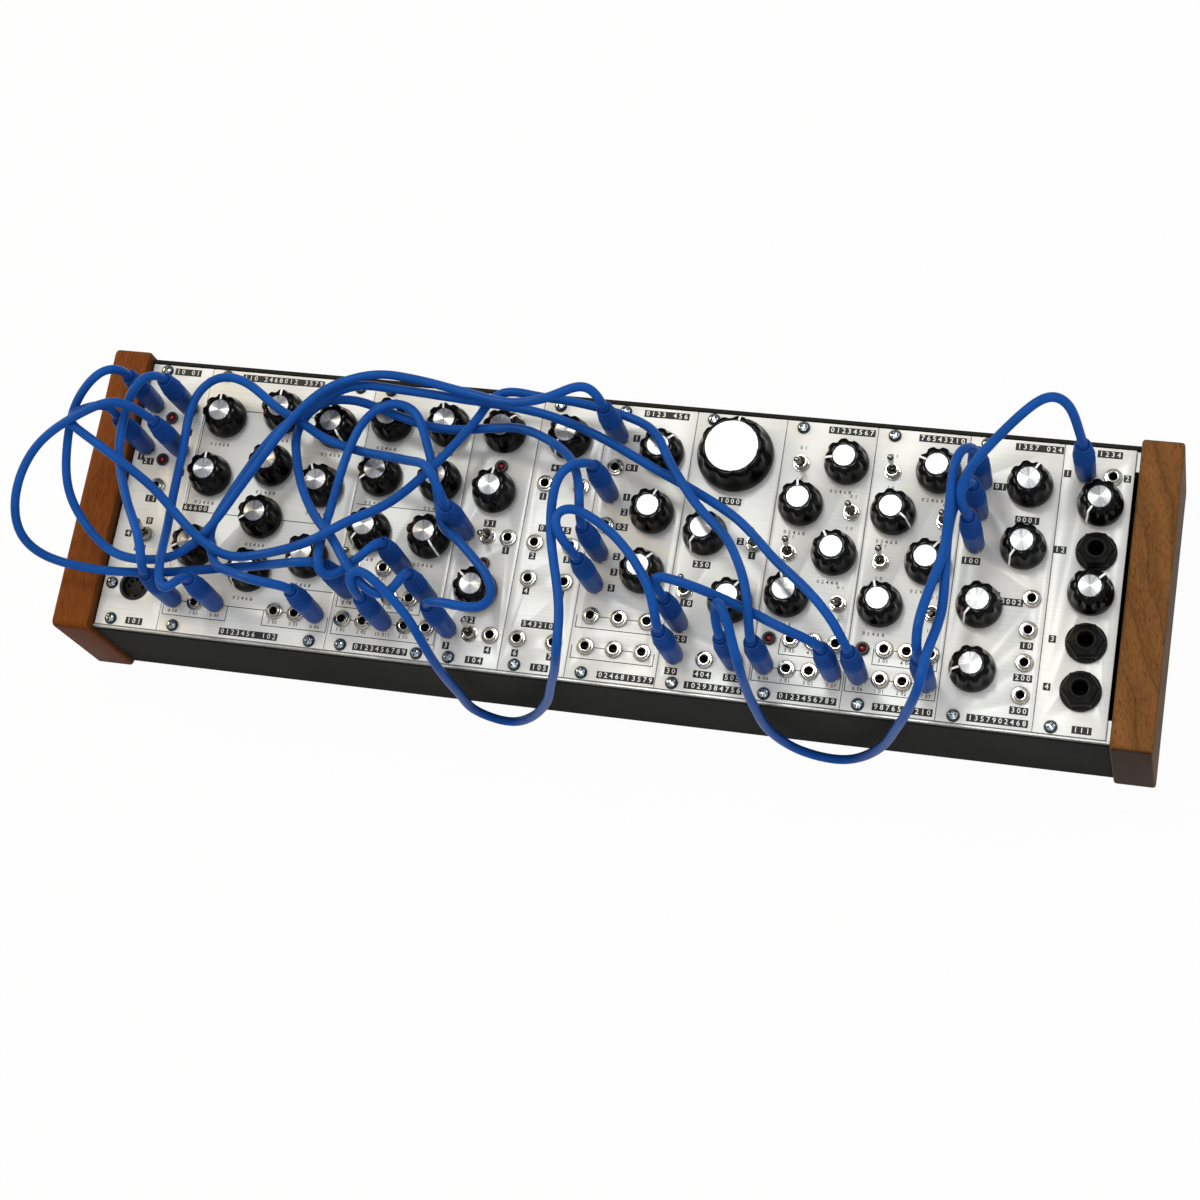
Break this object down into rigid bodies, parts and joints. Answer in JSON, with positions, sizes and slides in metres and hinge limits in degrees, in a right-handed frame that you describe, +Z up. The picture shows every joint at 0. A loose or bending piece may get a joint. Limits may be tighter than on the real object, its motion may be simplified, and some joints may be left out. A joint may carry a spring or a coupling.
{
  "type": "modular synthesizer",
  "caption": "Desktop modular synthesizer: rows of knobs, switches and jacks on brushed panels in a trough between wooden cheeks, patched with cords.",
  "frame": {"origin": "centre of the bottom of the two cheeks' box, on the surface it stands on", "axes": "+X along the row of panels to the player's right, +Y from the player to the rear edge, +Z up out of the panels"},
  "size_m": [0.5137, 0.145, 0.1251],
  "materials": {
    "cheek_wood": "oiled walnut",
    "case_steel": "black powder coat",
    "panel_aluminium": "fine brushed, clear anodised",
    "socket_black": "moulded",
    "knob_black": "polished",
    "knob_cap": "spun",
    "pointer_white": "matt paint",
    "toggle_nickel": "bright nickel",
    "jack_nickel": "bright nickel",
    "lamp_red": "clear red",
    "print_black": "screen print",
    "screw_zinc": "zinc plated",
    "cord_blue": "satin PVC"
  },
  "bodies": {
    "unit": {"cheek_left": "cheek_wood", "cheek_right": "cheek_wood", "case": "case_steel", "panels_and_rails": "panel_aluminium", "round_socket": "socket_black", "patch_cords": "cord_blue"},
    "knob_01": {"knob_01": "knob_black"},
    "knob_02": {"knob_02": "knob_black"},
    "knob_03": {"knob_03": "knob_black"},
    "knob_04": {"knob_04": "knob_black"},
    "knob_05": {"knob_05": "knob_black"},
    "knob_06": {"knob_06": "knob_black"},
    "knob_07": {"knob_07": "knob_black"},
    "knob_08": {"knob_08": "knob_black"},
    "knob_09": {"knob_09": "knob_black"},
    "knob_10": {"knob_10": "knob_black"},
    "knob_11": {"knob_11": "knob_black"},
    "knob_12": {"knob_12": "knob_black"},
    "knob_13": {"knob_13": "knob_black"},
    "knob_14": {"knob_14": "knob_black"},
    "knob_15": {"knob_15": "knob_black"},
    "knob_16": {"knob_16": "knob_black"},
    "knob_17": {"knob_17": "knob_black"},
    "knob_18": {"knob_18": "knob_black"},
    "knob_19": {"knob_19": "knob_black"},
    "knob_20": {"knob_20": "knob_black"},
    "knob_21": {"knob_21": "knob_black"},
    "knob_22": {"knob_22": "knob_black"},
    "knob_23": {"knob_23": "knob_black"},
    "knob_24": {"knob_24": "knob_black"},
    "knob_25": {"knob_25": "knob_black"},
    "knob_26": {"knob_26": "knob_black"},
    "knob_27": {"knob_27": "knob_black"},
    "knob_28": {"knob_28": "knob_black"},
    "knob_29": {"knob_29": "knob_black"},
    "knob_30": {"knob_30": "knob_black"},
    "knob_31": {"knob_31": "knob_black"},
    "knob_32": {"knob_32": "knob_black"},
    "knob_33": {"knob_33": "knob_black"},
    "knob_34": {"knob_34": "knob_black"},
    "knob_35": {"knob_35": "knob_black"},
    "knob_36": {"knob_36": "knob_black"},
    "knob_37": {"knob_37": "knob_black"},
    "knob_38": {"knob_38": "knob_black"},
    "knob_39": {"knob_39": "knob_black"},
    "dial_01": {"dial_01": "knob_black"},
    "toggle_01": {"toggle_01": "toggle_nickel"},
    "toggle_02": {"toggle_02": "toggle_nickel"},
    "toggle_03": {"toggle_03": "toggle_nickel"},
    "toggle_04": {"toggle_04": "toggle_nickel"},
    "toggle_05": {"toggle_05": "toggle_nickel"},
    "toggle_06": {"toggle_06": "toggle_nickel"},
    "toggle_07": {"toggle_07": "toggle_nickel"},
    "toggle_08": {"toggle_08": "toggle_nickel"},
    "toggle_09": {"toggle_09": "toggle_nickel"},
    "toggle_10": {"toggle_10": "toggle_nickel"},
    "toggle_11": {"toggle_11": "toggle_nickel"},
    "toggle_12": {"toggle_12": "toggle_nickel"},
    "toggle_13": {"toggle_13": "toggle_nickel"},
    "toggle_14": {"toggle_14": "toggle_nickel"}
  },
  "joints": [
    {"name": "knob_01_turn", "type": "hinge", "parent": "unit", "child": "knob_01", "pos_m": [-0.18618, 0.03981, 0.0602], "axis": [0, 0, 1], "range_deg": [-155, 145]},
    {"name": "knob_02_turn", "type": "hinge", "parent": "unit", "child": "knob_02", "pos_m": [-0.15798, 0.04456, 0.0602], "axis": [0, 0, 1], "range_deg": [-150, 150]},
    {"name": "knob_03_turn", "type": "hinge", "parent": "unit", "child": "knob_03", "pos_m": [-0.1314, 0.03981, 0.0602], "axis": [0, 0, 1], "range_deg": [-6, 294]},
    {"name": "knob_04_turn", "type": "hinge", "parent": "unit", "child": "knob_04", "pos_m": [-0.18749, 0.01089, 0.0602], "axis": [0, 0, 1], "range_deg": [-153, 147]},
    {"name": "knob_05_turn", "type": "hinge", "parent": "unit", "child": "knob_05", "pos_m": [-0.15879, 0.0186, 0.0602], "axis": [0, 0, 1], "range_deg": [-150, 150]},
    {"name": "knob_06_turn", "type": "hinge", "parent": "unit", "child": "knob_06", "pos_m": [-0.13278, 0.01089, 0.0602], "axis": [0, 0, 1], "range_deg": [-175, 125]},
    {"name": "knob_07_turn", "type": "hinge", "parent": "unit", "child": "knob_07", "pos_m": [-0.15863, -0.00684, 0.0602], "axis": [0, 0, 1], "range_deg": [-272, 28]},
    {"name": "knob_08_turn", "type": "hinge", "parent": "unit", "child": "knob_08", "pos_m": [-0.1874, -0.02393, 0.0602], "axis": [0, 0, 1], "range_deg": [-267, 33]},
    {"name": "knob_09_turn", "type": "hinge", "parent": "unit", "child": "knob_09", "pos_m": [-0.13262, -0.02329, 0.0602], "axis": [0, 0, 1], "range_deg": [-282, 18]},
    {"name": "knob_10_turn", "type": "hinge", "parent": "unit", "child": "knob_10", "pos_m": [-0.15896, -0.03254, 0.0602], "axis": [0, 0, 1], "range_deg": [-300, 0]},
    {"name": "knob_11_turn", "type": "hinge", "parent": "unit", "child": "knob_11", "pos_m": [-0.10535, 0.04546, 0.0602], "axis": [0, 0, 1], "range_deg": [-210, 90]},
    {"name": "knob_12_turn", "type": "hinge", "parent": "unit", "child": "knob_12", "pos_m": [-0.07802, 0.04546, 0.0602], "axis": [0, 0, 1], "range_deg": [-163, 137]},
    {"name": "knob_13_turn", "type": "hinge", "parent": "unit", "child": "knob_13", "pos_m": [-0.10586, 0.01886, 0.0602], "axis": [0, 0, 1], "range_deg": [-280, 20]},
    {"name": "knob_14_turn", "type": "hinge", "parent": "unit", "child": "knob_14", "pos_m": [-0.07746, 0.01886, 0.0602], "axis": [0, 0, 1], "range_deg": [-150, 150]},
    {"name": "knob_15_turn", "type": "hinge", "parent": "unit", "child": "knob_15", "pos_m": [-0.10586, -0.008, 0.0602], "axis": [0, 0, 1], "range_deg": [-297, 3]},
    {"name": "knob_16_turn", "type": "hinge", "parent": "unit", "child": "knob_16", "pos_m": [-0.07736, -0.008, 0.0602], "axis": [0, 0, 1], "range_deg": [-7, 293]},
    {"name": "knob_17_turn", "type": "hinge", "parent": "unit", "child": "knob_17", "pos_m": [-0.0513, 0.0452, 0.0602], "axis": [0, 0, 1], "range_deg": [-100, 200]},
    {"name": "knob_18_turn", "type": "hinge", "parent": "unit", "child": "knob_18", "pos_m": [-0.0513, 0.01655, 0.0602], "axis": [0, 0, 1], "range_deg": [-145, 155]},
    {"name": "knob_19_turn", "type": "hinge", "parent": "unit", "child": "knob_19", "pos_m": [-0.0513, -0.0301, 0.0602], "axis": [0, 0, 1], "range_deg": [-199, 101]},
    {"name": "knob_20_turn", "type": "hinge", "parent": "unit", "child": "knob_20", "pos_m": [-0.02082, 0.0452, 0.0602], "axis": [0, 0, 1], "range_deg": [-300, 0]},
    {"name": "knob_21_turn", "type": "hinge", "parent": "unit", "child": "knob_21", "pos_m": [0.02206, 0.04251, 0.0602], "axis": [0, 0, 1], "range_deg": [-101, 199]},
    {"name": "knob_22_turn", "type": "hinge", "parent": "unit", "child": "knob_22", "pos_m": [0.02206, 0.01423, 0.0602], "axis": [0, 0, 1], "range_deg": [-130, 170]},
    {"name": "knob_23_turn", "type": "hinge", "parent": "unit", "child": "knob_23", "pos_m": [0.02206, -0.01352, 0.0602], "axis": [0, 0, 1], "range_deg": [-107, 193]},
    {"name": "knob_24_turn", "type": "hinge", "parent": "unit", "child": "knob_24", "pos_m": [0.04737, 0.00678, 0.0602], "axis": [0, 0, 1], "range_deg": [-300, 0]},
    {"name": "knob_25_turn", "type": "hinge", "parent": "unit", "child": "knob_25", "pos_m": [0.06298, -0.02277, 0.0602], "axis": [0, 0, 1], "range_deg": [-115, 185]},
    {"name": "knob_26_turn", "type": "hinge", "parent": "unit", "child": "knob_26", "pos_m": [0.10492, 0.04546, 0.0602], "axis": [0, 0, 1], "range_deg": [-250, 50]},
    {"name": "knob_27_turn", "type": "hinge", "parent": "unit", "child": "knob_27", "pos_m": [0.0874, 0.02464, 0.0602], "axis": [0, 0, 1], "range_deg": [-158, 142]},
    {"name": "knob_28_turn", "type": "hinge", "parent": "unit", "child": "knob_28", "pos_m": [0.105, 0.0037, 0.0602], "axis": [0, 0, 1], "range_deg": [-182, 118]},
    {"name": "knob_29_turn", "type": "hinge", "parent": "unit", "child": "knob_29", "pos_m": [0.0872, -0.01725, 0.0602], "axis": [0, 0, 1], "range_deg": [-166, 134]},
    {"name": "knob_30_turn", "type": "hinge", "parent": "unit", "child": "knob_30", "pos_m": [0.14536, 0.04546, 0.0602], "axis": [0, 0, 1], "range_deg": [-220, 80]},
    {"name": "knob_31_turn", "type": "hinge", "parent": "unit", "child": "knob_31", "pos_m": [0.12804, 0.02464, 0.0602], "axis": [0, 0, 1], "range_deg": [-26, 274]},
    {"name": "knob_32_turn", "type": "hinge", "parent": "unit", "child": "knob_32", "pos_m": [0.14564, 0.0037, 0.0602], "axis": [0, 0, 1], "range_deg": [-115, 185]},
    {"name": "knob_33_turn", "type": "hinge", "parent": "unit", "child": "knob_33", "pos_m": [0.12784, -0.01725, 0.0602], "axis": [0, 0, 1], "range_deg": [-168, 132]},
    {"name": "knob_34_turn", "type": "hinge", "parent": "unit", "child": "knob_34", "pos_m": [0.1849, 0.04302, 0.0602], "axis": [0, 0, 1], "range_deg": [-122, 178]},
    {"name": "knob_35_turn", "type": "hinge", "parent": "unit", "child": "knob_35", "pos_m": [0.18518, 0.01501, 0.0602], "axis": [0, 0, 1], "range_deg": [-300, 0]},
    {"name": "knob_36_turn", "type": "hinge", "parent": "unit", "child": "knob_36", "pos_m": [0.16978, -0.01288, 0.0602], "axis": [0, 0, 1], "range_deg": [-296, 4]},
    {"name": "knob_37_turn", "type": "hinge", "parent": "unit", "child": "knob_37", "pos_m": [0.17027, -0.04115, 0.0602], "axis": [0, 0, 1], "range_deg": [-264, 36]},
    {"name": "knob_38_turn", "type": "hinge", "parent": "unit", "child": "knob_38", "pos_m": [0.2153, 0.03762, 0.0602], "axis": [0, 0, 1], "range_deg": [-300, 0]},
    {"name": "knob_39_turn", "type": "hinge", "parent": "unit", "child": "knob_39", "pos_m": [0.21551, -0.00221, 0.0602], "axis": [0, 0, 1], "range_deg": [-107, 193]},
    {"name": "dial_01_turn", "type": "hinge", "parent": "unit", "child": "dial_01", "pos_m": [0.05538, 0.04456, 0.0602], "axis": [0, 0, 1], "range_deg": [-143, 157]},
    {"name": "toggle_01_flip", "type": "hinge", "parent": "unit", "child": "toggle_01", "pos_m": [-0.21386, -0.01995, 0.059], "axis": [1, 0, 0], "range_deg": [0, 24]},
    {"name": "toggle_02_flip", "type": "hinge", "parent": "unit", "child": "toggle_02", "pos_m": [-0.11165, -0.02316, 0.059], "axis": [1, 0, 0], "range_deg": [0, 24]},
    {"name": "toggle_03_flip", "type": "hinge", "parent": "unit", "child": "toggle_03", "pos_m": [-0.0513, -0.00376, 0.059], "axis": [1, 0, 0], "range_deg": [-24, 0]},
    {"name": "toggle_04_flip", "type": "hinge", "parent": "unit", "child": "toggle_04", "pos_m": [-0.0513, -0.0495, 0.059], "axis": [1, 0, 0], "range_deg": [0, 24]},
    {"name": "toggle_05_flip", "type": "hinge", "parent": "unit", "child": "toggle_05", "pos_m": [0.04185, -0.0193, 0.059], "axis": [1, 0, 0], "range_deg": [0, 24]},
    {"name": "toggle_06_flip", "type": "hinge", "parent": "unit", "child": "toggle_06", "pos_m": [0.06936, 0.00511, 0.059], "axis": [1, 0, 0], "range_deg": [0, 24]},
    {"name": "toggle_07_flip", "type": "hinge", "parent": "unit", "child": "toggle_07", "pos_m": [0.0846, 0.0443, 0.059], "axis": [1, 0, 0], "range_deg": [-24, 0]},
    {"name": "toggle_08_flip", "type": "hinge", "parent": "unit", "child": "toggle_08", "pos_m": [0.10959, 0.02387, 0.059], "axis": [1, 0, 0], "range_deg": [-12, 12]},
    {"name": "toggle_09_flip", "type": "hinge", "parent": "unit", "child": "toggle_09", "pos_m": [0.08468, 0.00267, 0.059], "axis": [1, 0, 0], "range_deg": [0, 24]},
    {"name": "toggle_10_flip", "type": "hinge", "parent": "unit", "child": "toggle_10", "pos_m": [0.10951, -0.01815, 0.059], "axis": [1, 0, 0], "range_deg": [-24, 0]},
    {"name": "toggle_11_flip", "type": "hinge", "parent": "unit", "child": "toggle_11", "pos_m": [0.12504, 0.0443, 0.059], "axis": [1, 0, 0], "range_deg": [0, 24]},
    {"name": "toggle_12_flip", "type": "hinge", "parent": "unit", "child": "toggle_12", "pos_m": [0.15023, 0.02387, 0.059], "axis": [1, 0, 0], "range_deg": [-12, 12]},
    {"name": "toggle_13_flip", "type": "hinge", "parent": "unit", "child": "toggle_13", "pos_m": [0.12524, 0.00267, 0.059], "axis": [1, 0, 0], "range_deg": [0, 24]},
    {"name": "toggle_14_flip", "type": "hinge", "parent": "unit", "child": "toggle_14", "pos_m": [0.15023, -0.01815, 0.059], "axis": [1, 0, 0], "range_deg": [-24, 0]}
  ]
}
